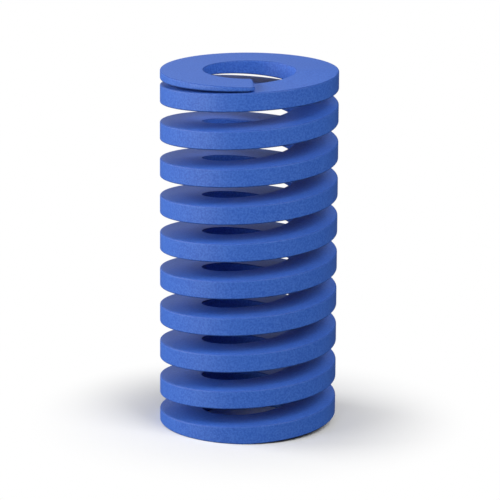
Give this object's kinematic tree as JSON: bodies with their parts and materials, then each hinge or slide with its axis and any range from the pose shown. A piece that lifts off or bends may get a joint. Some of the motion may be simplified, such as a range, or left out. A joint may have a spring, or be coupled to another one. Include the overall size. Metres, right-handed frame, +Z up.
{
  "type": "die spring",
  "caption": "Compression spring of flat wire with closed, ground ends: pushes back between two flat faces, in a round pocket or over a guide rod.",
  "frame": {"origin": "centre of the lower ground end, on the coil's axis", "axes": "+Z up the coil's axis to the upper ground end, -Y to the front, where the wire at the upper end runs out to its tip"},
  "size_m": [0.0246, 0.0246, 0.05],
  "materials": {
    "blue_enamel": "thin semi-gloss blue enamel sprayed over shot-peened spring steel"
  },
  "bodies": {
    "root": {"die_spring": "blue_enamel"}
  },
  "joints": []
}
